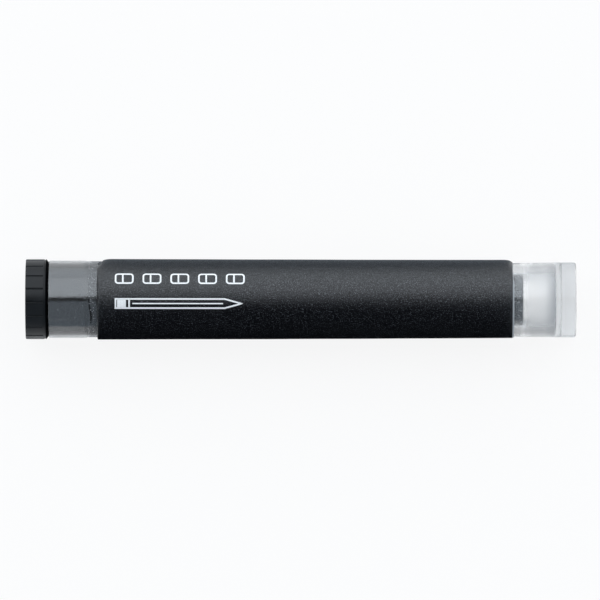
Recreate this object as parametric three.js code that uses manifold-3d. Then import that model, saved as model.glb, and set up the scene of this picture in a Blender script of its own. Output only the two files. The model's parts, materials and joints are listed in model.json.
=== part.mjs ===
// A refill tube of erasers for a push pencil, lying on its side: a see-through moulded tube with a closed
// foot, a ribbed stopper plugged into its mouth, a thin sleeve drawn on to it and a row of erasers inside.
// Millimetres, +Z up. The tube's axis runs along X, with the stopper at the -X end. The origin is on the
// surface that the tube lies on, halfway along it.
import * as THREE from 'three';
import { mergeVertices } from 'three/addons/utils/BufferGeometryUtils.js';
import Module from 'manifold-3d';

// Erasers, which set the tube's bore and length
const eraserCount = 5;
const eraserDiameter = 6.4;
const eraserLength = 10.8;
const eraserEdge = 0.2;
const eraserGap = 0.07;
const eraserClearance = 0.1;
const eraserTravel = 3.0;

// Tube: the wall is thickest over the stopper and thinnest where the sleeve ends
const mouthWall = 1.52;
const shoulderWall = 1.45;
const waistWall = 1.29;
const footWall = 1.38;
const baseThickness = 2.5;
const boreEndGap = 0.1;
const boreEndRadius = 1.0;
const mouthLeadIn = 0.25;
const rimRadius = 0.3;
const collarSlope = 0.4;
const footEdgeRadius = 0.3;
const footRimWidth = 2.0;
const footRecessDepth = 0.4;
const partingLineFromFoot = 1.9;
const partingLineWidth = 0.24;
const partingLineDepth = 0.06;

// Stopper
const headThickness = 2.83;
const headOverhang = 0.18;
const headChamfer = 0.32;
const headEdge = 0.12;
const gripCount = 18;
const gripWidth = 0.22;
const gripDepth = 0.14;
const gripEndLand = 0.6;
const gripTurn = THREE.MathUtils.degToRad(5);
const seatGap = 0.05;
const spigotLength = 4.95;
const spigotClearance = 0.05;
const spigotLeadIn = 0.4;
const spigotLeadInDepth = 0.2;
const spigotWall = 1.1;
const coreFloor = 0.8;

// Sleeve
const sleeveThickness = 0.27;
const sleeveClearance = 0.03;
const sleeveFromMouth = 6.05;
const sleeveFromFoot = 7.9;
const sleeveCurl = 0.6;
const sleeveEdgeThickness = 0.1;

// Faceting
const tubeSides = 72;
const eraserSides = 48;
const arcDivisions = 2;
const cutMargin = 0.5;
const quarterTurn = Math.PI / 2;

// Places along the axis, measured from the tube's mouth towards its foot
const boreRadius = eraserDiameter / 2 + eraserClearance;
const spigotTip = spigotLength - seatGap;
const eraserPitch = eraserLength + eraserGap;
const stackEnd = spigotTip + eraserCount * eraserPitch;
const boreStraight = stackEnd + eraserTravel + boreEndGap;
const boreDepth = boreStraight + boreEndRadius;
const tubeLength = boreDepth + baseThickness;
const sleeveStart = sleeveFromMouth;
const sleeveEnd = tubeLength - sleeveFromFoot;
const partingLine = tubeLength - partingLineFromFoot;
const headFace = -seatGap - headThickness;
const overallLength = tubeLength - headFace;

// Corners of the tube's outside, as [place along the axis, radius]: a collar that the spigot stretches,
// a long taper under the sleeve, and a slight flare to the foot
const outsideCorners = [
  [0, boreRadius + mouthWall],
  [spigotTip - collarSlope, boreRadius + mouthWall],
  [spigotTip, boreRadius + shoulderWall],
  [sleeveEnd, boreRadius + waistWall],
  [partingLine, boreRadius + footWall],
  [tubeLength, boreRadius + footWall],
];

function outsideRadius(place) {
  const next = Math.max(1, outsideCorners.findIndex(([corner]) => corner >= place));
  const [fromPlace, fromRadius] = outsideCorners[next - 1];
  const [toPlace, toRadius] = outsideCorners[next];
  return THREE.MathUtils.mapLinear(place, fromPlace, toPlace, fromRadius, toRadius);
}

const mouthRadius = outsideRadius(0);
const footRadius = outsideRadius(tubeLength);
const headRadius = mouthRadius + headOverhang;

// Solids of revolution: the profile's x is the radius and its y the place along the axis.
// The sides start half a side round, so that a flat and not an edge faces the ground.
function turned(profile, sides) {
  return new THREE.LatheGeometry(profile.getPoints(arcDivisions), sides, Math.PI / sides);
}

const wasm = await Module();
wasm.setup();

function toSolid(geometry) {
  const bare = geometry.clone();
  bare.deleteAttribute('normal');
  bare.deleteAttribute('uv');
  const merged = mergeVertices(bare);
  const corners = merged.index.array;
  const triangles = [];
  for (let i = 0; i < corners.length; i += 3) {
    const [a, b, c] = corners.slice(i, i + 3);
    const hasArea = a !== b && b !== c && c !== a;
    if (hasArea) {
      triangles.push(a, b, c);
    }
  }
  return new wasm.Manifold(new wasm.Mesh({
    numProp: 3,
    vertProperties: new Float32Array(merged.attributes.position.array),
    triVerts: new Uint32Array(triangles),
  }));
}

function toGeometry(solid) {
  const { vertProperties, triVerts } = solid.getMesh();
  const geometry = new THREE.BufferGeometry();
  geometry.setAttribute('position', new THREE.BufferAttribute(vertProperties, 3));
  geometry.setIndex(new THREE.BufferAttribute(triVerts, 1));
  geometry.computeVertexNormals();
  return geometry;
}

function tubeGeometry() {
  const recessRadius = footRadius - footRimWidth;
  const recessFloor = tubeLength - footRecessDepth;
  const footEdgeStart = tubeLength - footEdgeRadius;
  const partingStart = partingLine - partingLineWidth / 2;
  const partingEnd = partingLine + partingLineWidth / 2;
  const profile = new THREE.Path();
  profile.moveTo(0, boreDepth);
  profile.lineTo(boreRadius - boreEndRadius, boreDepth);
  profile.absarc(boreRadius - boreEndRadius, boreStraight, boreEndRadius, quarterTurn, 0, true);
  profile.lineTo(boreRadius, mouthLeadIn);
  profile.lineTo(boreRadius + mouthLeadIn, 0);
  profile.lineTo(mouthRadius - rimRadius, 0);
  profile.absarc(mouthRadius - rimRadius, rimRadius, rimRadius, -quarterTurn, 0, false);
  for (const [place, radius] of outsideCorners.slice(1, -2)) {
    profile.lineTo(radius, place);
  }
  profile.lineTo(outsideRadius(partingStart), partingStart);
  profile.lineTo(footRadius - partingLineDepth, partingLine);
  profile.lineTo(footRadius, partingEnd);
  profile.lineTo(footRadius, footEdgeStart);
  profile.absarc(footRadius - footEdgeRadius, footEdgeStart, footEdgeRadius, 0, quarterTurn, false);
  profile.lineTo(recessRadius, tubeLength);
  profile.lineTo(recessRadius - footRecessDepth, recessFloor);
  profile.lineTo(0, recessFloor);
  return turned(profile, tubeSides);
}

function gripGroove(index) {
  const section = new THREE.Shape();
  section.moveTo(0, headRadius - gripDepth);
  section.lineTo(gripWidth / 2, headRadius);
  section.lineTo(gripWidth / 2, headRadius + cutMargin);
  section.lineTo(-gripWidth / 2, headRadius + cutMargin);
  section.lineTo(-gripWidth / 2, headRadius);
  const depth = cutMargin + headThickness - gripEndLand;
  const groove = new THREE.ExtrudeGeometry(section, { depth, bevelEnabled: false });
  groove.translate(0, 0, headFace - cutMargin);
  groove.rotateX(-quarterTurn);
  groove.rotateY(gripTurn + (index * 2 * Math.PI) / gripCount);
  return groove;
}

function stopperGeometry() {
  const spigotRadius = boreRadius - spigotClearance;
  const coreRadius = spigotRadius - spigotWall;
  const coreEnd = coreFloor - seatGap;
  const profile = new THREE.Path();
  profile.moveTo(0, headFace);
  profile.lineTo(headRadius - headEdge, headFace);
  profile.lineTo(headRadius, headFace + headEdge);
  profile.lineTo(headRadius, -seatGap - headChamfer);
  profile.lineTo(headRadius - headChamfer, -seatGap);
  profile.lineTo(spigotRadius, -seatGap);
  profile.lineTo(spigotRadius, spigotTip - spigotLeadIn);
  profile.lineTo(spigotRadius - spigotLeadInDepth, spigotTip);
  profile.lineTo(coreRadius, spigotTip);
  profile.lineTo(coreRadius, coreEnd);
  profile.lineTo(0, coreEnd);
  let solid = toSolid(turned(profile, tubeSides));
  for (let index = 0; index < gripCount; index += 1) {
    solid = solid.subtract(toSolid(gripGroove(index)));
  }
  return toGeometry(solid);
}

function sleeveGeometry() {
  const inside = (place) => outsideRadius(place) + sleeveClearance;
  const outside = (place) => inside(place) + sleeveThickness;
  const edge = (place) => inside(place) + sleeveEdgeThickness;
  const cornersBetween = (from, to) => outsideCorners.filter(([place]) => place > from && place < to);
  const curlStart = sleeveStart + sleeveCurl;
  const curlEnd = sleeveEnd - sleeveCurl;
  const startRise = outside(curlStart) - edge(sleeveStart);
  const endRise = outside(curlEnd) - edge(sleeveEnd);
  const profile = new THREE.Path();
  profile.moveTo(inside(sleeveStart), sleeveStart);
  profile.lineTo(edge(sleeveStart), sleeveStart);
  profile.absellipse(edge(sleeveStart), curlStart, startRise, sleeveCurl, -quarterTurn, 0, false);
  for (const [place] of cornersBetween(curlStart, curlEnd)) {
    profile.lineTo(outside(place), place);
  }
  profile.lineTo(outside(curlEnd), curlEnd);
  profile.absellipse(edge(sleeveEnd), curlEnd, endRise, sleeveCurl, 0, quarterTurn, false);
  profile.lineTo(inside(sleeveEnd), sleeveEnd);
  for (const [place] of cornersBetween(sleeveStart, sleeveEnd).reverse()) {
    profile.lineTo(inside(place), place);
  }
  profile.lineTo(inside(sleeveStart), sleeveStart);
  return turned(profile, tubeSides);
}

function eraserGeometry() {
  const radius = eraserDiameter / 2;
  const profile = new THREE.Path();
  profile.moveTo(0, 0);
  profile.lineTo(radius - eraserEdge, 0);
  profile.absarc(radius - eraserEdge, eraserEdge, eraserEdge, -quarterTurn, 0, false);
  profile.absarc(radius - eraserEdge, eraserLength - eraserEdge, eraserEdge, 0, quarterTurn, false);
  profile.lineTo(0, eraserLength);
  return turned(profile, eraserSides);
}

function piece(name, geometry, material) {
  const mesh = new THREE.Mesh(geometry, new THREE.MeshStandardMaterial(material));
  mesh.name = name;
  return mesh;
}

const clearPlastic = { color: 0xe3e7ea, roughness: 0.2, metalness: 0, transparent: true, opacity: 0.5 };
const stopperPlastic = { color: 0x16181b, roughness: 0.45, metalness: 0 };
const sleeveFilm = { color: 0x131519, roughness: 0.6, metalness: 0 };
const eraserRubber = { color: 0x3c4045, roughness: 0.9, metalness: 0 };

// The solids are turned about their own Y axis. This group lays that axis along X, with the widest
// turned piece just touching the ground.
const assembly = new THREE.Group();
const sleeveRadius = outsideRadius(sleeveStart + sleeveCurl) + sleeveClearance + sleeveThickness;
const restingHeight = Math.max(headRadius, sleeveRadius) * Math.cos(Math.PI / tubeSides);
assembly.rotation.z = -quarterTurn;
assembly.position.set(-headFace - overallLength / 2, 0, restingHeight);

assembly.add(piece('tube', tubeGeometry(), clearPlastic));
assembly.add(piece('stopper', stopperGeometry(), stopperPlastic));
assembly.add(piece('sleeve', sleeveGeometry(), sleeveFilm));
for (let number = 1; number <= eraserCount; number += 1) {
  const eraser = piece(`eraser_${number}`, eraserGeometry(), eraserRubber);
  eraser.position.y = spigotTip + eraserGap + (number - 1) * eraserPitch;
  assembly.add(eraser);
}

const refillTube = new THREE.Group();
refillTube.name = 'eraser_refill_tube';
refillTube.add(assembly);

export default refillTube;
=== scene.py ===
"""Looks of a small refill tube of pencil erasers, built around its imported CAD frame.

Every length is in metres. The tube lies along X with its stopper at the low end, and angles round it
are counted from the top towards +Y.
"""

import json
import math

import bmesh
import bpy
from bpy.props import FloatProperty, FloatVectorProperty, IntProperty, PointerProperty
from bpy.types import Operator, Panel, PropertyGroup
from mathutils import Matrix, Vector, noise


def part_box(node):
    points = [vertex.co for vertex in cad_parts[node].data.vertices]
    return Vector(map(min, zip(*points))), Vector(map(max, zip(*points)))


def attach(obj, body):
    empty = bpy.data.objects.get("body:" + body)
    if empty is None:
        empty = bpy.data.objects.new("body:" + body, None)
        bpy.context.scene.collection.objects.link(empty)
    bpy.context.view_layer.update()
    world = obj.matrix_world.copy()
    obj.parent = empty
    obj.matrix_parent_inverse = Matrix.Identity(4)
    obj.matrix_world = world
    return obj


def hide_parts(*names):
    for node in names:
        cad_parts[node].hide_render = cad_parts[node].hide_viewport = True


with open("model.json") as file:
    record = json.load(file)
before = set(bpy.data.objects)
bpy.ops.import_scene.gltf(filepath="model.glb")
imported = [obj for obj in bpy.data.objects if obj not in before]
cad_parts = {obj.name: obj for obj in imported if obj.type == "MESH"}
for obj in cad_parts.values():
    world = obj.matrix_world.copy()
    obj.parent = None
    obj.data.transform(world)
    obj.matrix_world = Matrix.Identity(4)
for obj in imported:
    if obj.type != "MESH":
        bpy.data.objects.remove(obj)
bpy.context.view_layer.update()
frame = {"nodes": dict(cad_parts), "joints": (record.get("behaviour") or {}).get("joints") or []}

bl_info = {
    "name": "Eraser Refill Tube",
    "version": (1, 0, 0),
    "blender": (4, 5, 0),
    "location": "3D View > Sidebar > Refill Tube",
    "description": "Builds the tube, stopper, sleeve, erasers and studio of an eraser refill tube",
    "category": "Object",
}

MM = 0.001
SHARP_DEGREES = 35

TUBE_LOW, TUBE_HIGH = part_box("tube")
STOPPER_LOW, STOPPER_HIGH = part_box("stopper")
SLEEVE_LOW, SLEEVE_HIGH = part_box("sleeve")
ERASER_NODES = sorted(name for name in frame["nodes"] if name.startswith("eraser_"))
ERASER_LOW, ERASER_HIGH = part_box(ERASER_NODES[0])
LAST_ERASER_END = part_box(ERASER_NODES[-1])[1].x
SLIDE_ROOM = max(joint["range_m"][1] for joint in frame["joints"] if joint["child"] in ERASER_NODES)
BORE_END_ROOM = 1.1 * MM
BORE_END = LAST_ERASER_END + SLIDE_ROOM + BORE_END_ROOM

AXIS_HEIGHT = (TUBE_LOW.z + TUBE_HIGH.z) / 2
MOUTH_RADIUS = (TUBE_HIGH.z - TUBE_LOW.z) / 2
HEAD_RADIUS = (STOPPER_HIGH.z - STOPPER_LOW.z) / 2
ERASER_RADIUS = (ERASER_HIGH.z - ERASER_LOW.z) / 2


def length(name, description, millimetres):
    """A length property whose default is given in millimetres."""
    return FloatProperty(name=name, description=description, default=millimetres * MM,
                         min=0, precision=5, unit="LENGTH")


def position(name, description, millimetres):
    """A place on an axis, on either side of its origin, whose default is given in millimetres."""
    return FloatProperty(name=name, description=description, default=millimetres * MM,
                         precision=5, unit="LENGTH")


def number(name, description, default, least=0):
    """A plain number property with a least value."""
    return FloatProperty(name=name, description=description, default=default, min=least)


def angle(name, description, degrees):
    """An angle property whose default is given in degrees."""
    return FloatProperty(name=name, description=description, default=math.radians(degrees),
                         subtype="ANGLE")


def share(name, description, default):
    """A property that runs from none to all."""
    return FloatProperty(name=name, description=description, default=default, min=0, max=1,
                         subtype="FACTOR")


def colour(name, description, default):
    """A linear colour property."""
    return FloatVectorProperty(name=name, description=description, default=default, min=0, max=1,
                               size=3, subtype="COLOR")


class TubeSizes(PropertyGroup):
    """Sizes of the clear moulded tube that the frame's boxes don't give."""

    bore_radius: length("Bore radius", "Inside radius of the tube", ERASER_RADIUS / MM + 0.1)
    shoulder_radius: length("Shoulder radius", "Outside radius just below the mouth's collar", 4.75)
    waist_radius: length("Waist radius", "Outside radius where the sleeve ends", 4.59)
    foot_radius: length("Foot radius", "Outside radius of the closed foot", 4.68)
    collar_length: length("Collar length", "Straight length of the thicker mouth", 4.5)
    collar_slope: length("Collar slope", "Length over which the collar thins down", 0.4)
    rim_rounding: length("Rim rounding", "Rounding of the mouth's outer edge", 0.15)
    lead_in: length("Lead-in", "Bevel at the mouth of the bore", 0.08)
    bore_end_rounding: length("Bore end rounding", "Rounding at the closed end of the bore", 0.3)
    foot_rounding: length("Foot rounding", "Rounding of the foot's outer edge", 0.3)
    rim_width: length("Foot rim width", "Width of the flat rim that the foot stands on", 2.0)
    recess_depth: length("Foot recess", "Depth of the recess inside the foot's rim", 0.25)
    recess_slope: length("Recess slope", "Width of the recess's sloping side", 0.55)
    parting_place: length("Parting line place", "Distance of the mould's parting line from the foot", 1.9)
    parting_width: length("Parting line width", "Width of the mould's parting line", 0.14)
    parting_depth: length("Parting line depth", "Depth of the mould's parting line", 0.06)
    sides: IntProperty(name="Sides", description="Sides of the tube's round", default=160, min=24)


class StopperSizes(PropertyGroup):
    """Sizes of the black push-in stopper."""

    head_thickness: length("Head thickness", "Length of the ribbed head", 2.83)
    edge_rounding: length("Edge rounding", "Rounding of the head's outer edge", 0.12)
    chamfer: length("Chamfer", "Length of the head's bevel towards the tube", 0.3)
    chamfer_depth: length("Chamfer depth", "Depth of the head's bevel towards the tube", 0.34)
    rib_count: IntProperty(name="Ribs", description="Flat ribs round the head", default=18, min=3)
    first_rib: angle("First rib", "Angle of the middle of the first rib", 5)
    groove_width: length("Groove width", "Width of the groove between two ribs", 0.27)
    groove_depth: length("Groove depth", "Depth of the groove between two ribs", 0.14)
    groove_land: length("Groove land", "Plain ring between the grooves' ends and the tube", 0.6)
    ring_width: length("Ring line width", "Width of the fine line beside the chamfer", 0.16)
    ring_depth: length("Ring line depth", "Depth of the fine line beside the chamfer", 0.07)
    spigot_press: length("Spigot press", "How much wider than the bore the pressed-in plug is", 0.008)
    core_radius: length("Core radius", "Radius of the plug's hollow core", 2.15)
    core_floor: length("Core floor", "Thickness between the head's shoulder and the core", 0.8)
    gate_radius: length("Gate mark radius", "Radius of the mould's gate mark on the end face", 0.55)
    gate_depth: length("Gate mark depth", "Depth of the mould's gate mark", 0.08)


class SleeveSizes(PropertyGroup):
    """Sizes of the thin black sleeve drawn on to the tube."""

    clearance: length("Clearance", "Room between the tube and the film", 0.03)
    thickness: length("Film thickness", "Thickness of the film", 0.27)
    edge_thickness: length("Edge thickness", "Thickness of the film at its cut ends", 0.03)
    curl_long: length("Longest curl", "Length over which the mouth end curls in, at its longest", 1.2)
    curl_short: length("Shortest curl", "Length over which the mouth end curls in, at its shortest", 0.1)
    cut_back: length("Cut back", "How far the mouth end's cut falls back on its slack side", 0.65)
    foot_curl_long: length("Longest foot curl", "Longest curl at the foot end", 1.05)
    foot_curl_short: length("Shortest foot curl", "Shortest curl at the foot end", 0.28)
    foot_cut_back: length("Foot cut back", "How far the foot end's cut falls back on its slack side", 0.18)
    foot_slack: length("Foot slack", "How far the foot end stands off to its slack side", 0.11)
    bare_lip: length("Bare lip", "Width of the uncoloured film at the foot end", 0.2)
    lip_overhang: length("Lip overhang", "How far the uncoloured film passes the frame's sleeve", 0.15)
    ripple: length("Ripple", "Height of the shrunk film's slow ripples", 0.012)
    sides: IntProperty(name="Sides", description="Sides of the sleeve's round", default=160, min=24)


class EraserSizes(PropertyGroup):
    """Sizes of the small cylindrical erasers."""

    edge_rounding: length("Edge rounding", "Rounding of the cut edges", 0.18)
    unevenness: length("Unevenness", "Height of the rubber's dents and swellings", 0.022)
    swell_length: length("Swell length", "Length of the first eraser that is pressed on to the bore", 4.4)
    tear_width: length("Tear width", "Width of the torn split beside the first eraser's front edge", 0.2)
    tear_depth: length("Tear depth", "Depth of the torn split", 0.006)
    tear_drift: length("Tear drift", "How far the split runs away from the front edge", 0.3)
    tear_start: angle("Tear start", "Angle round the tube at which the split starts", 1)
    tear_end: angle("Tear end", "Angle round the tube at which the split ends", -56)
    speck_low: length("Smallest speck", "Radius of the smallest pale crumb", 0.03)
    speck_high: length("Largest speck", "Radius of the largest pale crumb", 0.085)
    speck_density: number("Specks", "Pale crumbs on each square millimetre", 8.0)
    pressed_specks: share("Pressed specks", "Share of specks and of their size on the first eraser", 0.6)
    sides: IntProperty(name="Sides", description="Sides of an eraser's round", default=72, min=12)


class MarkSizes(PropertyGroup):
    """Sizes of the plain white marks printed on the sleeve."""

    start: position("Start", "Place of the marks' left end along the tube", -23.2)
    row_length: length("Row length", "Length of one row of marks", 16.2)
    block_length: length("Block length", "Length of one eraser mark", 2.35)
    block_height: length("Block height", "Height of one eraser mark", 1.5)
    bar_height: length("Bar height", "Height of the pencil mark", 1.35)
    line_width: length("Line width", "Width of the printed lines", 0.2)
    ink_height: length("Ink height", "How far the ink stands above the film", 0.015)
    upper_angle: angle("Upper row", "Angle round the tube of the row of eraser marks", 31)
    lower_angle: angle("Lower row", "Angle round the tube of the pencil mark", -6)


class Finishes(PropertyGroup):
    """Colours and finishes of the object's plastics, film, ink and rubber."""

    tube_colour: colour("Tube", "Tint of the clear plastic", (0.98, 0.986, 0.99))
    tube_clarity: share("Tube clarity", "Share of the light that passes the clear plastic", 0.988)
    tube_index: number("Tube index", "How strongly the tube bends light", 1.38, least=1)
    bore_clarity: share("Bore clarity", "Share of the light that passes the bore beside the erasers", 0.86)
    frost_clarity: share("Frost clarity", "Share of the light that passes the bore's frosted end", 0.8)
    # Painted shade: the darker tint that the bore's closed end fades to.
    bore_end_shade_colour: colour("Bore end", "Tint of the bore's closed end", (0.64, 0.655, 0.675))
    stopper_colour: colour("Stopper", "Black of the moulded stopper", (0.0018, 0.0026, 0.0036))
    dust_colour: colour("Dust", "Pale dust between the plug and the bore", (0.3, 0.31, 0.33))
    sleeve_colour: colour("Sleeve", "Black of the film", (0.0006, 0.0008, 0.0018))
    # Partly painted highlight: the film's grain, whose paler specks stand in for the glints of its fine
    # texture.
    grain_and_glint_colour: colour("Grain", "Paler grain of the film", (0.04, 0.0435, 0.0495))
    bare_film_colour: colour("Bare film", "Uncoloured film at the sleeve's end", (0.42, 0.435, 0.45))
    ink_colour: colour("Ink", "White of the printed marks", (0.95, 0.95, 0.94))
    rubber_colour: colour("Rubber", "Dark grey of the erasers", (0.03, 0.032, 0.0345))
    speck_colour: colour("Specks", "Pale crumbs on the erasers", (0.85, 0.86, 0.87))


class StudioSettings(PropertyGroup):
    """Camera, lamps and floor."""

    camera_height: length("Camera height", "Height of the camera over the tube's axis", 1500)
    field_width: length("Field width", "Width of the picture at the tube's axis", 75)
    camera_x: position("Camera X", "Place of the picture's middle along the tube", -0.11)
    camera_y: position("Camera Y", "Place of the picture's middle across the tube", -0.06)
    camera_roll: angle("Camera roll", "Turn of the picture about the line of sight", 0.08)
    key_radiance: number("Key lamp", "Brightness of the large soft lamp", 1.65)
    fill_radiance: number("Fill lamp", "Brightness of the soft fill", 0.41)
    key_colour: colour("Key lamp colour", "Cool white of the large soft lamp", (0.86, 0.93, 1.0))
    fill_colour: colour("Fill lamp colour", "Cooler white of the soft fill", (0.72, 0.855, 1.0))
    sky_radiance: number("Surroundings", "Brightness of the room", 0.05)
    wall_radiance: number("End walls", "Brightness of the room beyond the tube's ends", 0.35)
    floor_colour: colour("Floor", "Pale floor", (0.97, 0.97, 0.97))
    floor_glow: share("Floor glow", "Share of plain white in the floor in the picture", 0.88)
    floor_glow_through: share("Floor glow in plastic", "Share of plain white that plastic shows", 0.44)


class RefillTubeSettings(PropertyGroup):
    """Everything that a user of the refill tube may change."""

    tube: PointerProperty(type=TubeSizes)
    stopper: PointerProperty(type=StopperSizes)
    sleeve: PointerProperty(type=SleeveSizes)
    eraser: PointerProperty(type=EraserSizes)
    marks: PointerProperty(type=MarkSizes)
    finish: PointerProperty(type=Finishes)
    studio: PointerProperty(type=StudioSettings)


def settings():
    """The scene's refill tube settings."""
    return bpy.context.scene.refill_tube


# Shapes

def rounded_outline(corners, steps=6):
    """Points of an outline whose corners, given as (x, radius, rounding), are rounded off."""
    outline = []
    for index, (x, radius, rounding) in enumerate(corners):
        if rounding == 0:
            outline.append((x, radius))
            continue
        corner = Vector((x, radius))
        before = (Vector(corners[index - 1][:2]) - corner).normalized()
        after = (Vector(corners[index + 1][:2]) - corner).normalized()
        half = before.angle(after) / 2
        centre = corner + (before + after).normalized() * (rounding / math.sin(half))
        start = corner + before * (rounding / math.tan(half)) - centre
        end = corner + after * (rounding / math.tan(half)) - centre
        turn = start.angle_signed(end)
        first = math.atan2(start.y, start.x)
        for step in range(steps + 1):
            spoke = first - turn * step / steps
            outline.append((centre.x + rounding * math.cos(spoke), centre.y + rounding * math.sin(spoke)))
    return outline


def on_tube(x, radius, turn):
    """The point at a place along the tube, a distance from its axis and an angle from the top."""
    return Vector((x, radius * math.sin(turn), AXIS_HEIGHT + radius * math.cos(turn)))


def ring(x, radius, sides):
    """Points of a circle about the tube's axis, or the one point on the axis if it has no radius."""
    if radius == 0:
        return [on_tube(x, 0, 0)]
    return [on_tube(x, radius, math.tau * side / sides) for side in range(sides)]


def skin(maker, rings, around=True, closed=False, capped=False):
    """Joins rings of points, or strips if not around, with bands of faces, closed or capped if asked."""
    rows = [[maker.verts.new(point) for point in points] for points in rings]
    pairs = list(zip(rows, rows[1:]))
    if closed:
        pairs.append((rows[-1], rows[0]))
    bands = []
    for first, second in pairs:
        sides = max(len(first), len(second))
        band = []
        for side in range(sides if around else sides - 1):
            after = (side + 1) % sides
            corners = [first[side % len(first)], first[after % len(first)],
                       second[after % len(second)], second[side % len(second)]]
            band.append(maker.faces.new(list(dict.fromkeys(corners))))
        bands.append(band)
    if capped:
        maker.faces.new(rows[0])
        maker.faces.new(list(reversed(rows[-1])))
    return bands


def shape_mesh(mesh, maker, sharp_degrees):
    """Writes a bmesh to a mesh, with its faces outwards and smooth but for its sharp edges."""
    bmesh.ops.recalc_face_normals(maker, faces=maker.faces[:])
    maker.to_mesh(mesh)
    maker.free()
    mesh.shade_smooth()
    mesh.set_sharp_from_angle(angle=math.radians(sharp_degrees))


def mesh_object(name, maker, materials, sharp_degrees=SHARP_DEGREES):
    """Turns a bmesh into an object with the given materials."""
    mesh = bpy.data.meshes.new(name)
    shape_mesh(mesh, maker, sharp_degrees)
    for material in materials:
        mesh.materials.append(material)
    made = bpy.data.objects.new(name, mesh)
    bpy.context.scene.collection.objects.link(made)
    return made


def settle(made):
    """Replaces an object's modifiers by the plain mesh that they make."""
    shown = made.evaluated_get(bpy.context.evaluated_depsgraph_get())
    mesh = bpy.data.meshes.new_from_object(shown)
    made.modifiers.clear()
    maker = bmesh.new()
    maker.from_mesh(mesh)
    shape_mesh(mesh, maker, SHARP_DEGREES)
    mesh.name = made.name
    made.data = mesh


def finish_piece(made, body, slot, *nodes):
    """Seats a piece on its body, in place of its CAD nodes; the slot it is given is not used."""
    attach(made, body)
    if nodes:
        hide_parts(*nodes)


# Nodes

def fill(tree, node, inputs):
    """Gives inputs of a node their values or links."""
    for key, value in inputs.items():
        if isinstance(value, bpy.types.NodeSocket):
            tree.links.new(value, node.inputs[key])
        else:
            node.inputs[key].default_value = value


def add_node(tree, kind, inputs=None, **options):
    """Adds a node, with its options and the values or links of its inputs."""
    made = tree.nodes.new(kind)
    for name, value in options.items():
        setattr(made, name, value)
    fill(tree, made, inputs or {})
    return made


def math_node(tree, operation, first, second=0.0):
    """The result of one sum on two numbers or links."""
    return add_node(tree, "ShaderNodeMath", {0: first, 1: second}, operation=operation).outputs[0]


def combine(tree, x=0.0, y=0.0, z=0.0):
    """A vector of three numbers or links."""
    return add_node(tree, "ShaderNodeCombineXYZ", {"X": x, "Y": y, "Z": z}).outputs[0]


def separate(tree, vector):
    """The three numbers of a vector."""
    return add_node(tree, "ShaderNodeSeparateXYZ", {0: vector}).outputs


def geometry_tree(name, inputs):
    """A Geometry Nodes tree with the named inputs; returns it, its group input and its output."""
    tree = bpy.data.node_groups.new(name, "GeometryNodeTree")
    tree.interface.new_socket("Geometry", in_out="OUTPUT", socket_type="NodeSocketGeometry")
    tree.interface.new_socket("Geometry", in_out="INPUT", socket_type="NodeSocketGeometry")
    for kind, names in inputs.items():
        for socket in names:
            tree.interface.new_socket(socket, in_out="INPUT", socket_type="NodeSocket" + kind)
    source = tree.nodes.new("NodeGroupInput")
    result = tree.nodes.new("NodeGroupOutput")
    return tree, source.outputs, result.inputs


def copies(tree, points, pattern, inputs=None):
    """Real copies of a pattern on points."""
    made = add_node(tree, "GeometryNodeInstanceOnPoints", {
        "Points": points, "Instance": pattern, **(inputs or {})})
    return add_node(tree, "GeometryNodeRealizeInstances", {0: made.outputs[0]}).outputs[0]


def painted(tree, geometry, material, chosen=True):
    """Geometry with a material on its chosen faces."""
    return add_node(tree, "GeometryNodeSetMaterial", {
        "Geometry": geometry, "Selection": chosen, "Material": material}).outputs[0]


def apply_tree(made, tree, values):
    """Puts a tree on an object with its inputs set, and settles the result."""
    modifier = made.modifiers.new(tree.name, "NODES")
    modifier.node_group = tree
    for item in tree.interface.items_tree:
        if item.item_type == "SOCKET" and item.in_out == "INPUT" and item.name in values:
            modifier[item.identifier] = values[item.name]
    settle(made)


def new_finish(name):
    """A material with its tree, its shader and the object's own coordinates."""
    material = bpy.data.materials.new(name)
    material.use_nodes = True
    tree = material.node_tree
    shader = tree.nodes["Principled BSDF"]
    place = add_node(tree, "ShaderNodeTexCoord").outputs["Object"]
    return material, tree, shader, place


def cloud(tree, place, size, detail=2.0, roughness=0.5):
    """A soft noise whose lumps have about the given size."""
    return add_node(tree, "ShaderNodeTexNoise", {
        "Vector": place, "Scale": 1 / size, "Detail": detail, "Roughness": roughness}).outputs["Fac"]


def spread(tree, value, low, high, to_low=0.0, to_high=1.0):
    """Maps a number from one range to another, and stops at its ends."""
    return add_node(tree, "ShaderNodeMapRange", {
        "Value": value, "From Min": low, "From Max": high, "To Min": to_low, "To Max": to_high}).outputs[0]


def blend(tree, share_of_second, first, second):
    """Mixes two colours."""
    return add_node(tree, "ShaderNodeMix", {
        "Factor": share_of_second, 6: (*first, 1), 7: (*second, 1)}, data_type="RGBA").outputs[2]


def shades(tree, share_of_second, tint, first, second):
    """Mixes two tones of one colour, given as factors of it."""
    return blend(tree, share_of_second, [first * part for part in tint], [second * part for part in tint])


def bump(tree, height, distance):
    """The normals of a surface with a bump of the given height."""
    return add_node(tree, "ShaderNodeBump", {"Height": height, "Distance": distance}).outputs["Normal"]


# Finishes

FROST_REACH = 1.3 * MM
SHADE_START = BORE_END - 1.5 * MM
SHADE_END = BORE_END - 0.4 * MM


def clear_plastic(finish):
    """Slightly milky see-through plastic with the faint flow marks of moulding."""
    material, tree, shader, place = new_finish("clear_moulded_plastic")
    flow = cloud(tree, place, 1.6 * MM, detail=4.0)
    fill(tree, shader, {
        "Base Color": (*finish.tube_colour, 1),
        "Transmission Weight": finish.tube_clarity,
        "IOR": finish.tube_index,
        "Roughness": spread(tree, flow, 0.3, 0.7, 0.15, 0.2),
        "Normal": bump(tree, cloud(tree, place, 0.45 * MM, detail=3.0), 0.004 * MM)})
    return material


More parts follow.
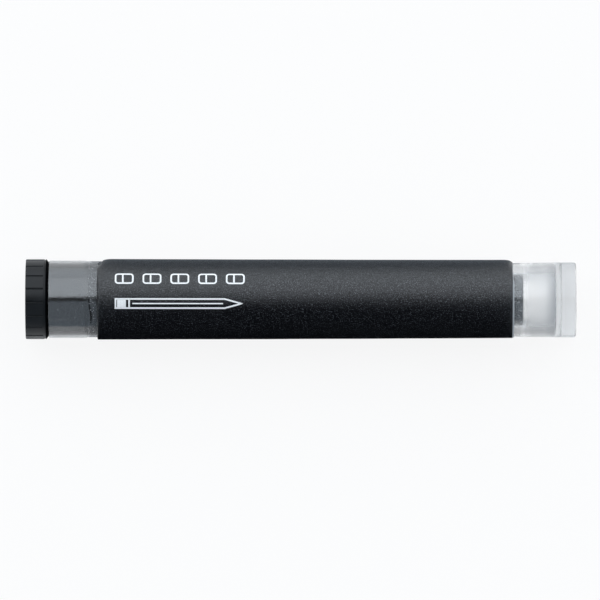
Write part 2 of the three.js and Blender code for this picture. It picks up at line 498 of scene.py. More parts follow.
def bore_plastic(name, finish, clarity):
    """The same plastic inside the bore, duller beside the erasers, frosted at the closed end and darkened
    there with painted shade.
    """
    material, tree, shader, place = new_finish(name)
    along = separate(tree, place)["X"]
    frost = spread(tree, along, LAST_ERASER_END, LAST_ERASER_END + FROST_REACH, 0.1, 0.5)
    patch = spread(tree, cloud(tree, place, 0.5 * MM, detail=4.0), 0.3, 0.7, 0.0, 0.06)
    # Painted shade: the tint darkens over the last stretch towards the bore's closed end.
    shade = spread(tree, along, SHADE_START, SHADE_END)
    fill(tree, shader, {
        "Base Color": blend(tree, shade, finish.tube_colour, finish.bore_end_shade_colour),
        "Transmission Weight": clarity,
        "IOR": finish.tube_index,
        "Roughness": math_node(tree, "ADD", frost, patch),
        "Normal": bump(tree, cloud(tree, place, 0.3 * MM), 0.001 * MM)})
    return material


def stopper_plastic(finish):
    """Satin black moulded plastic with a fine spark-eroded texture and dusty handling marks."""
    material, tree, shader, place = new_finish("satin_black_plastic")
    smudge = spread(tree, cloud(tree, place, 2.2 * MM, detail=4.0), 0.42, 0.72)
    fill(tree, shader, {
        "Base Color": shades(tree, smudge, finish.stopper_colour, 1, 1.7),
        "Specular IOR Level": 0.36,
        "Roughness": spread(tree, smudge, 0.0, 1.0, 0.3, 0.42),
        "Normal": bump(tree, cloud(tree, place, 0.09 * MM, detail=3.0), 0.006 * MM)})
    return material


def bevel_shade_plastic(finish):
    """The stopper's bevel, dead matt and blacker than the head: painted shade for the shadowed gap between
    the head and the tube.
    """
    material, tree, shader, place = new_finish("bevel_painted_shade_black")
    grit = cloud(tree, place, 0.12 * MM, detail=3.0)
    fill(tree, shader, {
        "Base Color": shades(tree, grit, finish.stopper_colour, 0.15, 0.45),
        "Specular IOR Level": 0.02,
        "Roughness": spread(tree, grit, 0.3, 0.7, 0.7, 0.9),
        "Normal": bump(tree, grit, 0.01 * MM)})
    return material


def plug_plastic(finish):
    """The stopper's plug, smoother and more lively where the clear bore presses on it."""
    material, tree, shader, place = new_finish("polished_black_plastic")
    streak = cloud(tree, place, 0.8 * MM, detail=4.0)
    dust = spread(tree, cloud(tree, place, 0.13 * MM, detail=1.0), 0.72, 0.78)
    fill(tree, shader, {
        "Base Color": blend(tree, dust, finish.stopper_colour, finish.dust_colour),
        "Specular IOR Level": 1.0,
        "IOR": 1.74,
        "Roughness": spread(tree, streak, 0.3, 0.7, 0.06, 0.12),
        "Normal": bump(tree, cloud(tree, place, 0.26 * MM), 0.016 * MM)})
    return material


def sleeve_film(finish):
    """Matt black film with a fine grain, whose paler specks are partly painted glints."""
    material, tree, shader, place = new_finish("matt_black_film")
    speckle = cloud(tree, place, 0.1 * MM, detail=1.0)
    # Partly painted highlight: the paler specks stand in for glints of the grain.
    glint = spread(tree, speckle, 0.58, 0.67)
    sheen = spread(tree, speckle, 0.4, 0.6)
    patch = cloud(tree, place, 2.5 * MM, detail=3.0)
    fill(tree, shader, {
        "Base Color": blend(tree, glint, finish.sleeve_colour, finish.grain_and_glint_colour),
        "Specular IOR Level": 0.95,
        "Specular Tint": blend(tree, sheen, (0.45, 0.45, 0.45), (1, 1, 1)),
        "Roughness": spread(tree, patch, 0.3, 0.7, 0.2, 0.26),
        "Normal": bump(tree, cloud(tree, place, 0.13 * MM, roughness=0.6), 0.058 * MM)})
    return material


def bare_film(finish):
    """Uncoloured film, pale and a little cloudy."""
    material, tree, shader, place = new_finish("bare_pale_film")
    haze = cloud(tree, place, 0.4 * MM, detail=3.0)
    fill(tree, shader, {
        "Base Color": shades(tree, haze, finish.bare_film_colour, 1, 0.8),
        "Roughness": spread(tree, haze, 0.3, 0.7, 0.3, 0.5)})
    return material


def white_ink(finish):
    """Flat white ink with a slightly starved, uneven film."""
    material, tree, shader, place = new_finish("white_printing_ink")
    thin = spread(tree, cloud(tree, place, 0.14 * MM, detail=3.0), 0.5, 0.8, 0.0, 0.55)
    fill(tree, shader, {
        "Base Color": shades(tree, thin, finish.ink_colour, 1, 0.55),
        "Roughness": spread(tree, thin, 0.0, 0.55, 0.5, 0.7)})
    return material


def eraser_rubber(finish):
    """Dull dark grey rubber, mottled and dusty."""
    material, tree, shader, place = new_finish("dull_grey_rubber")
    mottle = spread(tree, cloud(tree, place, 0.5 * MM, detail=5.0, roughness=0.65), 0.35, 0.68)
    fill(tree, shader, {
        "Base Color": shades(tree, mottle, finish.rubber_colour, 0.7, 1.55),
        "Specular IOR Level": 1.0,
        "IOR": 1.64,
        "Roughness": spread(tree, mottle, 0.0, 1.0, 0.14, 0.26),
        "Normal": bump(tree, cloud(tree, place, 0.16 * MM, detail=4.0), 0.012 * MM)})
    return material


def split_shade_rubber(finish):
    """The inside of a split in the rubber, near black with painted shade."""
    material, tree, shader, place = new_finish("split_rubber_painted_shade")
    shred = cloud(tree, place, 0.1 * MM, detail=4.0)
    fill(tree, shader, {
        "Base Color": shades(tree, shred, finish.rubber_colour, 0.03, 0.12),
        "Specular IOR Level": 0.05,
        "Roughness": spread(tree, shred, 0.3, 0.7, 0.8, 1.0),
        "Normal": bump(tree, shred, 0.02 * MM)})
    return material


def eraser_crumb(finish):
    """Pale crumbs that cling to the rubber."""
    material, tree, shader, place = new_finish("pale_rubber_crumb")
    fleck = spread(tree, cloud(tree, place, 0.35 * MM), 0.35, 0.65)
    fill(tree, shader, {
        "Base Color": shades(tree, fleck, finish.speck_colour, 0.5, 1),
        "Roughness": spread(tree, fleck, 0.0, 1.0, 0.7, 0.9)})
    return material


# Tube

SOFT_ROUNDING = 0.3 * MM
EDGE_ROUNDING = 0.1 * MM
LINE_ROUNDING = 0.03 * MM
BEVEL_ROUNDING = 0.02 * MM
NEAR = 0.01 * MM


def tube_outline(sizes):
    """Outline of the tube from the middle of its foot, over the mouth, to the end of its bore."""
    foot = TUBE_HIGH.x
    mouth = TUBE_LOW.x
    parting = foot - sizes.parting_place
    half = sizes.parting_width / 2
    collar = mouth + sizes.collar_length
    recess = sizes.foot_radius - sizes.rim_width
    return rounded_outline([
        (foot - sizes.recess_depth, 0, 0),
        (foot - sizes.recess_depth, recess - sizes.recess_slope, SOFT_ROUNDING),
        (foot, recess, EDGE_ROUNDING),
        (foot, sizes.foot_radius, sizes.foot_rounding),
        (parting + half, sizes.foot_radius, LINE_ROUNDING),
        (parting, sizes.foot_radius - sizes.parting_depth, LINE_ROUNDING),
        (parting - half, sizes.foot_radius, LINE_ROUNDING),
        (SLEEVE_HIGH.x, sizes.waist_radius, 0),
        (collar + sizes.collar_slope, sizes.shoulder_radius, EDGE_ROUNDING),
        (collar, MOUTH_RADIUS, EDGE_ROUNDING),
        (mouth, MOUTH_RADIUS, sizes.rim_rounding),
        (mouth, sizes.bore_radius + sizes.lead_in, BEVEL_ROUNDING),
        (mouth + sizes.lead_in, sizes.bore_radius, BEVEL_ROUNDING),
        (LAST_ERASER_END, sizes.bore_radius, 0),
        (BORE_END, sizes.bore_radius, sizes.bore_end_rounding),
        (BORE_END, 0, 0),
    ], steps=7)


class REFILL_OT_tube(Operator):
    """Build the clear moulded tube"""

    bl_idname = "refill.tube"
    bl_label = "Build Tube"

    def execute(self, context):
        sizes = settings().tube
        finish = settings().finish
        maker = bmesh.new()
        outline = tube_outline(sizes)
        bands = skin(maker, [ring(x, radius, sizes.sides) for x, radius in outline])
        bore_start = TUBE_LOW.x + sizes.lead_in
        for band, (x, radius) in zip(bands, outline):
            if bore_start < x < TUBE_HIGH.x - NEAR and radius < sizes.bore_radius + NEAR:
                for face in band:
                    face.material_index = 1 if x < LAST_ERASER_END else 2
        made = mesh_object("clear_tube", maker, [
            clear_plastic(finish),
            bore_plastic("satin_moulded_plastic", finish, finish.bore_clarity),
            bore_plastic("frosted_moulded_plastic", finish, finish.frost_clarity)], sharp_degrees=50)
        finish_piece(made, "tube", "clear_plastic", "tube")
        return {"FINISHED"}


# Stopper

GROOVE_RUN_OUT = 0.12 * MM
RING_WALL = 0.05 * MM
CHAMFER_STEP = 0.02 * MM
CHAMFER_ROUNDING = 0.06 * MM
TIP_ROUNDING = 0.12 * MM
WELD_GAP = 0.001 * MM
RIB_STEPS = (0, 0.3, 0.6, 0.85)
GROOVE_STEPS = (1.35, 1.15, 1.0, 0.8, 0.55, 0.3, 0.12, 0)
GROOVE_LEAD = 1.6
EDGE_STEPS = 5


def stopper_outline(sizes):
    """Outline of the stopper from the middle of its end face to the floor of its core.

    Each point is (x, radius, share of the groove's depth at that place).
    """
    face = STOPPER_LOW.x
    shoulder = face + sizes.head_thickness
    tip = STOPPER_HIGH.x
    land = shoulder - sizes.groove_land
    line = shoulder - sizes.chamfer - sizes.ring_width
    line_radius = HEAD_RADIUS - sizes.ring_depth
    spigot = settings().tube.bore_radius + sizes.spigot_press
    edge = sizes.edge_rounding
    gate = sizes.gate_radius
    points = [(face + sizes.gate_depth, 0, 0), (face + sizes.gate_depth, 0.7 * gate, 0), (face, gate, 0),
              (face, 0.5 * HEAD_RADIUS, 0), (face, HEAD_RADIUS - 2.2 * edge, 0)]
    for step in range(EDGE_STEPS + 1):
        turn = math.pi / 2 * step / EDGE_STEPS
        points.append((face + edge * (1 - math.cos(turn)), HEAD_RADIUS - edge * (1 - math.sin(turn)),
                       step / EDGE_STEPS))
    points += [(land - GROOVE_RUN_OUT, HEAD_RADIUS, 1), (land - GROOVE_RUN_OUT / 3, HEAD_RADIUS, 0.75),
               (land, HEAD_RADIUS, 0), (line - RING_WALL, HEAD_RADIUS, 0), (line, line_radius, 0),
               (line + sizes.ring_width - RING_WALL, line_radius, 0)]
    plain = rounded_outline([
        (line + sizes.ring_width, HEAD_RADIUS, 0),
        (shoulder - sizes.chamfer + CHAMFER_STEP, HEAD_RADIUS, 0),
        (shoulder, HEAD_RADIUS - sizes.chamfer_depth, CHAMFER_ROUNDING),
        (shoulder, spigot, EDGE_ROUNDING),
        (tip, spigot, 0),
        (tip, sizes.core_radius, TIP_ROUNDING),
        (shoulder + sizes.core_floor, sizes.core_radius, SOFT_ROUNDING),
        (shoulder + sizes.core_floor, 0, 0),
    ], steps=4)
    return points + [(x, radius, 0) for x, radius in plain]


def stopper_wedge(sizes):
    """One rib of the stopper, from groove to groove, about the X axis."""
    half = math.pi / sizes.rib_count
    groove = sizes.groove_width / 2 / HEAD_RADIUS
    turns = [(half - GROOVE_LEAD * groove) * part for part in RIB_STEPS]
    turns += [half - groove * part for part in GROOVE_STEPS]
    turns = [-turn for turn in reversed(turns[1:])] + turns
    strips = []
    for x, radius, depth in stopper_outline(sizes):
        strip = []
        for turn in turns if radius > 0 else [0]:
            inside = min(1, (half - abs(turn)) / groove)
            reach = radius - sizes.groove_depth * depth * math.sqrt(max(0, 1 - inside ** 2))
            strip.append((x, reach * math.sin(turn), reach * math.cos(turn)))
        strips.append(strip)
    maker = bmesh.new()
    skin(maker, strips, around=False)
    return maker


def rib_tree():
    """Geometry Nodes that set one rib round the stopper's axis as often as asked."""
    tree, given, result = geometry_tree("ribs_round_stopper", {
        "Int": ["Rib Count"],
        "Float": ["First Rib", "Axis Height", "Shoulder", "Bevel"],
        "Material": ["Head Plastic", "Bevel Painted Shade", "Plug Plastic"]})
    places = add_node(tree, "GeometryNodePoints", {"Count": given["Rib Count"]}).outputs[0]
    index = add_node(tree, "GeometryNodeInputIndex").outputs[0]
    step = math_node(tree, "DIVIDE", -math.tau, given["Rib Count"])
    turn = math_node(tree, "SUBTRACT", math_node(tree, "MULTIPLY", index, step), given["First Rib"])
    spin = add_node(tree, "FunctionNodeEulerToRotation", {0: combine(tree, x=turn)}).outputs[0]
    whole = copies(tree, places, given["Geometry"], {"Rotation": spin})
    whole = add_node(tree, "GeometryNodeMergeByDistance", {
        "Geometry": whole, "Distance": WELD_GAP}).outputs[0]
    lift = combine(tree, z=given["Axis Height"])
    whole = add_node(tree, "GeometryNodeSetPosition", {"Geometry": whole, "Offset": lift}).outputs[0]
    along = separate(tree, add_node(tree, "GeometryNodeInputPosition").outputs[0])["X"]
    whole = painted(tree, whole, given["Head Plastic"])
    # The bevel gets a painted-shade black; the plug beyond the shoulder gets its own plastic.
    for start, plastic in (("Bevel", "Bevel Painted Shade"), ("Shoulder", "Plug Plastic")):
        beyond = math_node(tree, "GREATER_THAN", along, given[start])
        whole = painted(tree, whole, given[plastic], beyond)
    tree.links.new(whole, result[0])
    return tree


class REFILL_OT_stopper(Operator):
    """Build the ribbed push-in stopper"""

    bl_idname = "refill.stopper"
    bl_label = "Build Stopper"

    def execute(self, context):
        sizes = settings().stopper
        finish = settings().finish
        shoulder = STOPPER_LOW.x + sizes.head_thickness
        made = mesh_object("ribbed_stopper", stopper_wedge(sizes), [])
        apply_tree(made, rib_tree(), {
            "Rib Count": sizes.rib_count, "First Rib": sizes.first_rib, "Axis Height": AXIS_HEIGHT,
            "Bevel": shoulder - sizes.chamfer, "Shoulder": shoulder,
            "Head Plastic": stopper_plastic(finish), "Bevel Painted Shade": bevel_shade_plastic(finish),
            "Plug Plastic": plug_plastic(finish)})
        finish_piece(made, "stopper", "stopper_plastic", "stopper")
        return {"FINISHED"}


# Sleeve

LIP_STEPS = (0, 0.2, 0.5, 1)
END_STEPS = (0.29 * MM, 0.42 * MM, 0.6 * MM, 0.85 * MM, 1.15 * MM, 1.5 * MM, 1.95 * MM)
END_LENGTH = 3.5 * MM
MIDDLE_STEPS = 34
RIPPLE_LENGTH = 7 * MM
RIPPLE_TURNS = 1.6
MOUTH_SLACK = (0.8, 0.17)
FOOT_SLACK = (0.42, 0.25)
LIP_FADE = (0.72, -0.35)
THINNEST_LIP = 0.1


def tube_radius_under_sleeve(x):
    """Outside radius of the tube under the sleeve."""
    sizes = settings().tube
    start = TUBE_LOW.x + sizes.collar_length + sizes.collar_slope
    along = (x - start) / (SLEEVE_HIGH.x - start)
    return sizes.shoulder_radius + (sizes.waist_radius - sizes.shoulder_radius) * along


def sleeve_radius(x):
    """Outside radius of the sleeve."""
    sizes = settings().sleeve
    return tube_radius_under_sleeve(x) + sizes.clearance + sizes.thickness


def curl_share(distance, reach):
    """Share of the film's full height at a distance from an end that curls in over a reach."""
    along = min(1, distance / reach)
    return (1 - (1 - along) ** 2) ** 0.6


def side_share(turn, start, reach):
    """How far an angle lies towards +Y: none of the way at a start, all of it a reach beyond."""
    return max(0, min(1, (math.sin(turn) - start) / reach))


def sleeve_rings(sizes):
    """Rings of points round the outside and then the inside of the sleeve."""
    lip = [part * sizes.bare_lip for part in LIP_STEPS]
    rise = sizes.thickness - sizes.edge_thickness
    columns = []
    for side in range(sizes.sides):
        turn = math.tau * side / sizes.sides
        low = SLEEVE_LOW.x + sizes.cut_back * side_share(turn, *MOUTH_SLACK)
        high = SLEEVE_HIGH.x + sizes.lip_overhang - sizes.foot_cut_back * side_share(turn, *FOOT_SLACK)
        lip_width = max(THINNEST_LIP, side_share(turn, *LIP_FADE))
        upward = 0.5 + 0.5 * math.sin(turn)
        mouth_reach = sizes.curl_short + (sizes.curl_long - sizes.curl_short) * upward ** 2
        foot_reach = sizes.foot_curl_short + (sizes.foot_curl_long - sizes.foot_curl_short) * upward
        first = low + END_LENGTH
        last = high - END_LENGTH
        places = [low + part for part in (*lip, *END_STEPS)]
        places += [first + (last - first) * step / MIDDLE_STEPS for step in range(MIDDLE_STEPS + 1)]
        places += [high - part for part in reversed(END_STEPS)]
        places += [high - part * lip_width for part in reversed(lip)]
        column = []
        for x in places:
            full = min(curl_share(x - low, mouth_reach), curl_share(high - x, foot_reach))
            wave = noise.noise(Vector((x / RIPPLE_LENGTH, RIPPLE_TURNS * math.sin(turn),
                                       RIPPLE_TURNS * math.cos(turn))))
            along = (x - SLEEVE_LOW.x) / (SLEEVE_HIGH.x - SLEEVE_LOW.x)
            slack = sizes.foot_slack * along ** 2 * math.sin(turn)
            height = sizes.clearance + sizes.edge_thickness + (rise + slack + sizes.ripple * wave) * full
            column.append(on_tube(x, tube_radius_under_sleeve(x) + height, turn))
        for x in (high, low):
            column.append(on_tube(x, tube_radius_under_sleeve(x) + sizes.clearance, turn))
        columns.append(column)
    return list(zip(*columns))


class REFILL_OT_sleeve(Operator):
    """Build the thin black sleeve"""

    bl_idname = "refill.sleeve"
    bl_label = "Build Sleeve"

    def execute(self, context):
        finish = settings().finish
        rings = sleeve_rings(settings().sleeve)
        maker = bmesh.new()
        bands = skin(maker, rings, closed=True)
        last_outer = len(rings) - 3
        first_lip = last_outer - (len(LIP_STEPS) - 1)
        for band in bands[first_lip:last_outer + 1]:
            for face in band:
                face.material_index = 1
        made = mesh_object("black_sleeve", maker, [sleeve_film(finish), bare_film(finish)], sharp_degrees=50)
        finish_piece(made, "tube", "sleeve_film", "sleeve")
        return {"FINISHED"}


# Printed marks

MARK_STEP = 0.2 * MM
MARK_ROUNDING = 0.32 * MM
INK_GAP = 0.02 * MM
BAND_PLACE = 0.42
NIB_LENGTH = 2.1 * MM
CAP_LENGTH = 1.5 * MM


def line_loop(maker, outline, sizes):
    """A closed printed line along an outline of (u, v) points, as a thin solid."""
    high = sizes.ink_height
    sections = []
    for index, point in enumerate(outline):
        here = Vector(point)
        before = (here - Vector(outline[index - 1])).normalized()
        after = (Vector(outline[(index + 1) % len(outline)]) - here).normalized()
        along = (before + after).normalized()
        out = Vector((along.y, -along.x)) * (sizes.line_width / 2 / max(0.5, along.dot(before)))
        inner = here - out
        outer = here + out
        sections.append([(*inner, -high), (*outer, -high), (*outer, high), (*inner, high)])
    skin(maker, sections, closed=True)


def filled_block(maker, left, right, half, sizes):
    """A printed block, split across its height so that it can follow the sleeve's round."""
    high = sizes.ink_height
    steps = max(2, math.ceil(2 * half / MARK_STEP))
    sections = []
    for step in range(steps + 1):
        v = 2 * half * step / steps - half
        sections.append([(left, v, -high), (right, v, -high), (right, v, high), (left, v, high)])
    skin(maker, sections, capped=True)


def even_steps(corners, gap):
    """Points along a closed outline, no further apart than a gap."""
    points = []
    for index, corner in enumerate(corners):
        start = Vector(corner)
        end = Vector(corners[(index + 1) % len(corners)])
        steps = max(1, math.ceil((end - start).length / gap))
        points += [tuple(start.lerp(end, step / steps)) for step in range(steps)]
    return points


def softened(corners, rounding):
    """An outline of (u, v) corners with each corner rounded off."""
    rounded = [(u, v, rounding) for u, v in corners]
    return rounded_outline([(*corners[-1], 0)] + rounded + [(*corners[0], 0)], steps=4)[1:-1]


def eraser_mark(sizes):
    """A plain picture of one eraser: a rounded block with a band round it."""
    maker = bmesh.new()
    line = sizes.line_width / 2
    right = sizes.block_length - line
    half = sizes.block_height / 2 - line
    corners = softened([(line, -half), (right, -half), (right, half), (line, half)], MARK_ROUNDING)
    line_loop(maker, even_steps(corners, MARK_STEP), sizes)
    band = line + BAND_PLACE * (right - line)
    filled_block(maker, band - line, band + line, half - line - INK_GAP, sizes)
    return maker


def pencil_mark(sizes):
    """A plain picture of a pencil: a long body with a cap at one end and a point at the other."""
    maker = bmesh.new()
    width = sizes.line_width
    half = sizes.bar_height / 2 - width / 2
    left = width / 2
    right = sizes.row_length - 2 * width
    nib = right - NIB_LENGTH
    cap = left + CAP_LENGTH
    outline = [(left, -half), (nib, -half), (right, 0), (nib, half), (left, half)]
    line_loop(maker, even_steps(outline, MARK_STEP), sizes)
    inside = half - width / 2 - INK_GAP
    filled_block(maker, left + width, cap - width, inside, sizes)
    filled_block(maker, cap + width / 2, cap + 1.5 * width, inside, sizes)
    filled_block(maker, cap + 3 * width, nib - width, 0.4 * width, sizes)
    return maker


def wrap_tree():
    """Geometry Nodes that set flat marks in a row and lay them round the sleeve."""
    tree, given, result = geometry_tree("marks_on_sleeve", {
        "Int": ["Copies"],
        "Float": ["Pitch", "Start", "Row Angle", "Low End", "High End", "Low Radius", "High Radius",
                  "Axis Height"],
        "Material": ["Ink"]})
    index = add_node(tree, "GeometryNodeInputIndex").outputs[0]
    step = combine(tree, x=math_node(tree, "MULTIPLY", index, given["Pitch"]))
    places = add_node(tree, "GeometryNodePoints", {"Count": given["Copies"], "Position": step}).outputs[0]
    marks = copies(tree, places, given["Geometry"])
    flat = separate(tree, add_node(tree, "GeometryNodeInputPosition").outputs[0])
    along = math_node(tree, "ADD", flat["X"], given["Start"])
    radius = spread(tree, along, given["Low End"], given["High End"],
                    given["Low Radius"], given["High Radius"])
    turn = math_node(tree, "ADD", math_node(tree, "DIVIDE", flat["Y"], radius), given["Row Angle"])
    reach = math_node(tree, "ADD", radius, flat["Z"])
    across = math_node(tree, "MULTIPLY", reach, math_node(tree, "SINE", turn))
    upward = math_node(tree, "MULTIPLY", reach, math_node(tree, "COSINE", turn))
    laid = combine(tree, along, across, math_node(tree, "ADD", upward, given["Axis Height"]))
    marks = add_node(tree, "GeometryNodeSetPosition", {"Geometry": marks, "Position": laid}).outputs[0]
    tree.links.new(painted(tree, marks, given["Ink"]), result[0])
    return tree


class REFILL_OT_marks(Operator):
    """Print the plain white marks on the sleeve"""

    bl_idname = "refill.marks"
    bl_label = "Print Marks"

    def execute(self, context):
        sizes = settings().marks
        tree = wrap_tree()
        count = len(ERASER_NODES)
        pitch = (sizes.row_length - sizes.block_length) / (count - 1)
        shared = {"Start": sizes.start, "Low End": SLEEVE_LOW.x, "High End": SLEEVE_HIGH.x, "Pitch": pitch,
                  "Low Radius": sleeve_radius(SLEEVE_LOW.x), "High Radius": sleeve_radius(SLEEVE_HIGH.x),
                  "Axis Height": AXIS_HEIGHT, "Ink": white_ink(settings().finish)}
        for name, flat, number_of, turn in (
                ("eraser_marks", eraser_mark(sizes), count, sizes.upper_angle),
                ("pencil_mark", pencil_mark(sizes), 1, sizes.lower_angle)):
            made = mesh_object(name, flat, [])
            apply_tree(made, tree, {**shared, "Copies": number_of, "Row Angle": turn})
            finish_piece(made, "tube", "sleeve_film")
        return {"FINISHED"}


# Erasers

FACE_RINGS = (0, 0.35, 0.7)
TEAR_RINGS = (0.06 * MM, 0.09 * MM, 0.12 * MM)
FRONT_STRETCH = 0.8 * MM
BACK_STRETCH = 0.6 * MM
SIDE_STEPS = 18
DENT_SIZE = 1.7 * MM
DENT_SEED_STEP = 11.3
RAGGED_PITCH = 7
RAGGED_ROW = 4.2
CRUMB_FLATNESS = 0.5


def eraser_outline(sizes, low, high, pressed):
    """Outline of an eraser; a pressed one has a square front edge and rings for its torn split."""
    face = [part * ERASER_RADIUS for part in FACE_RINGS]
    if pressed:
        edge = [(x, ERASER_RADIUS, 0) for x in (low, *(low + part for part in TEAR_RINGS))]
    else:
        edge = [(low, ERASER_RADIUS, sizes.edge_rounding)]
    first = low + FRONT_STRETCH
    last = high - BACK_STRETCH
    side = [(first + (last - first) * step / SIDE_STEPS, ERASER_RADIUS, 0) for step in range(SIDE_STEPS + 1)]
    return rounded_outline([(low, radius, 0) for radius in face] + edge + side +
                           [(high, ERASER_RADIUS, sizes.edge_rounding)] +
                           [(high, radius, 0) for radius in reversed(face)], steps=4)


def tear_share(sizes, turn):
    """How far along the torn split an angle is, from 0 to 1, or outside that range beyond its ends."""
    return (turn - sizes.tear_start) / (sizes.tear_end - sizes.tear_start)


def tear_front(sizes, bands, torn):
    """Opens the torn split between the rings that the first eraser's front has for it."""
    rings = [[face.verts[0] for face in band] for band in bands]
    for part, points in zip((-0.5, 0, 0.5), rings):
        for vert in points:
            spoke = Vector((0, vert.co.y, vert.co.z - AXIS_HEIGHT))
            turn = math.atan2(spoke.y, spoke.z)
            along = max(0, min(1, tear_share(sizes, turn)))
            ragged = noise.noise(Vector((RAGGED_PITCH * turn, RAGGED_ROW, 0)))
            opening = math.sqrt(math.sin(math.pi * along)) * (0.8 + 0.6 * ragged)
            vert.co.x += sizes.tear_drift * min(1, 1.7 * along) * (1 + 0.25 * ragged)
            vert.co.x += sizes.tear_width * part * opening
            if part == 0:
                vert.co -= spoke.normalized() * sizes.tear_depth * opening
    # The split's faces are marked for the painted-shade rubber.
    for band in bands[:2]:
        for face in band:
            middle = face.calc_center_median()
            turn = math.atan2(middle.y, middle.z - AXIS_HEIGHT)
            face[torn] = 0 < tear_share(sizes, turn) < 1


def eraser_body(sizes, low, high, seed):
    """A cut length of soft rubber, a little uneven all over; the first is pressed on to the bore."""
    pressed = seed == 1
    press = settings().stopper.spigot_press
    swell = settings().tube.bore_radius + press - ERASER_RADIUS
    if pressed:
        low = STOPPER_HIGH.x - press
    centre = Vector(((low + high) / 2, 0, AXIS_HEIGHT))
    maker = bmesh.new()
    torn = maker.faces.layers.int.new("torn")
    outline = eraser_outline(sizes, low, high, pressed)
    bands = skin(maker, [ring(x, radius, sizes.sides) for x, radius in outline])
    for vert in maker.verts:
        dent = noise.noise(vert.co / DENT_SIZE + Vector((0, 0, DENT_SEED_STEP * seed)))
        inward = (centre - vert.co).normalized()
        spoke = Vector((0, vert.co.y, vert.co.z - AXIS_HEIGHT))
        hold = min(1, max(0, 2 - 2 * (vert.co.x - low) / sizes.swell_length)) if pressed else 0
        vert.co += inward * sizes.unevenness * (0.5 + dent) * (1 - hold)
        if hold > 0 and spoke.length > 0:
            vert.co += spoke.normalized() * swell * hold * spoke.length / ERASER_RADIUS
    if pressed:
        first = len(FACE_RINGS) + 1
        tear_front(sizes, bands[first:first + len(TEAR_RINGS)], torn)
    return maker


def crumb_tree():
    """Geometry Nodes that scatter pale crumbs over a rubber body."""
    tree, given, result = geometry_tree("crumbs_on_rubber", {
        "Float": ["Density", "Smallest", "Largest"],
        "Int": ["Seed"],
        "Material": ["Rubber", "Split Painted Shade", "Crumb"]})
    places = add_node(tree, "GeometryNodeDistributePointsOnFaces", {
        "Mesh": given["Geometry"], "Density": given["Density"], "Seed": given["Seed"]}).outputs
    grain = add_node(tree, "GeometryNodeMeshIcoSphere", {"Radius": 1.0, "Subdivisions": 1}).outputs[0]
    size = add_node(tree, "FunctionNodeRandomValue", {
        2: given["Smallest"], 3: given["Largest"], "Seed": given["Seed"]}, data_type="FLOAT").outputs[1]
    flat = combine(tree, size, size, math_node(tree, "MULTIPLY", size, CRUMB_FLATNESS))
    crumbs = copies(tree, places["Points"], grain, {"Rotation": places["Rotation"], "Scale": flat})
    torn = add_node(tree, "GeometryNodeInputNamedAttribute", {"Name": "torn"}, data_type="INT")
    body = painted(tree, given["Geometry"], given["Rubber"])
    # Painted shade: the split's faces get the near-black rubber.
    body = painted(tree, body, given["Split Painted Shade"], torn.outputs["Attribute"])
    whole = add_node(tree, "GeometryNodeJoinGeometry")
    tree.links.new(body, whole.inputs[0])
    tree.links.new(painted(tree, crumbs, given["Crumb"]), whole.inputs[0])
    tree.links.new(whole.outputs[0], result[0])
    return tree


class REFILL_OT_erasers(Operator):
    """Build the row of erasers"""

    bl_idname = "refill.erasers"
    bl_label = "Build Erasers"

    def execute(self, context):
        sizes = settings().eraser
        finish = settings().finish
        tree = crumb_tree()
        shared = {"Smallest": sizes.speck_low, "Rubber": eraser_rubber(finish),
                  "Split Painted Shade": split_shade_rubber(finish), "Crumb": eraser_crumb(finish)}
        for seed, node in enumerate(ERASER_NODES, start=1):
            low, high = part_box(node)
            made = mesh_object("rubber_" + node, eraser_body(sizes, low.x, high.x, seed), [])
            cling = sizes.pressed_specks if seed == 1 else 1
            apply_tree(made, tree, {**shared, "Density": cling * sizes.speck_density / MM ** 2,
                                    "Largest": cling * sizes.speck_high, "Seed": seed})
            finish_piece(made, node, "eraser_rubber", node)
        return {"FINISHED"}


# Studio

SENSOR_WIDTH = 36
CLIP_END = 100
LAMP_DISTANCE = 1.2
LAMP_WIDTH = 4.0
LAMP_ANGLES = (8.5, 92)
FLOOR_SIZE = 12
ROOM_COLOUR = (0.95, 0.975, 1.0, 1)
WALL_DIRECTIONS = (0.35, 0.8)
CARD_LIFT = 0.05 * MM
SLEEVE_CARD_REACH = 1.0 * MM
SLEEVE_CARD_COLOUR = (0.9, 0.95, 1.0)
WALL_CARD_REACH = 20 * MM
WALL_CARD_SIDES = (3.4 * MM, 12 * MM)
WALL_CARD_COLOUR = (0.96, 0.98, 1.0)
PLUG_CARD_REACH = 150 * MM
PLUG_CARD_FAR = 1.1
BACK_CARD_STEP = 0.5 * MM


def soft_lamp(name, radiance, tint, side):
    """A large soft lamp on the +Y side, or on the other if the side is -1, that isn't seen itself."""
    start, end = [math.radians(turn) for turn in LAMP_ANGLES]
    lean = side * (start + end) / 2
    direction = Vector((0, math.sin(lean), math.cos(lean)))
    data = bpy.data.lights.new(name, "AREA")
    data.shape = "RECTANGLE"
    data.size = LAMP_WIDTH
    data.size_y = 2 * LAMP_DISTANCE * math.tan((end - start) / 2)
    data.energy = radiance * math.pi * data.size * data.size_y
    data.color = tint
    lamp = bpy.data.objects.new(name, data)
    lamp.location = direction * LAMP_DISTANCE
    lamp.rotation_euler = direction.to_track_quat("Z", "Y").to_euler()
    lamp.visible_camera = False
    bpy.context.scene.collection.objects.link(lamp)


